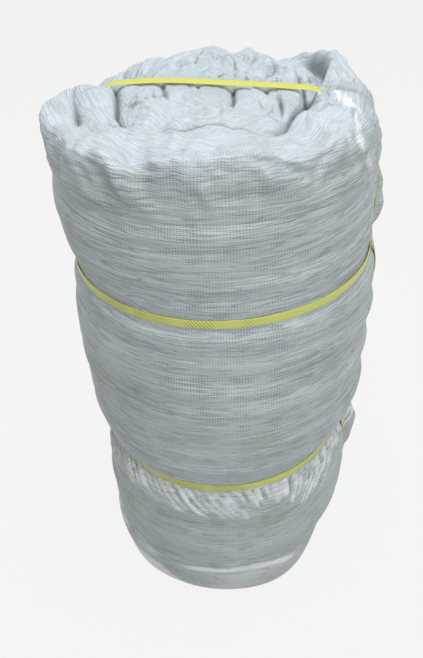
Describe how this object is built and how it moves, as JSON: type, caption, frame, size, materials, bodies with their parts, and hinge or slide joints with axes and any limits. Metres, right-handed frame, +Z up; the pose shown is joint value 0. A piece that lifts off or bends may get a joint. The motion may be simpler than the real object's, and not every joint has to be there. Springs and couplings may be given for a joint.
{
  "type": "insulation roll",
  "caption": "Roll of woven-faced insulation quilt standing on its end, tied with plastic straps round its girth and over its top.",
  "frame": {"origin": "centre of the base, on the floor", "axes": "+Z up the axis of the roll; the lengthwise strap lies in the XZ plane"},
  "size_m": [0.5476, 0.5324, 0.9902],
  "materials": {
    "quilt": "woven plastic tape, slightly glossy",
    "strap": "embossed"
  },
  "bodies": {
    "root": {"roll": "quilt", "strap_middle": "strap", "strap_lower": "strap", "strap_lengthwise": "strap"}
  },
  "joints": []
}
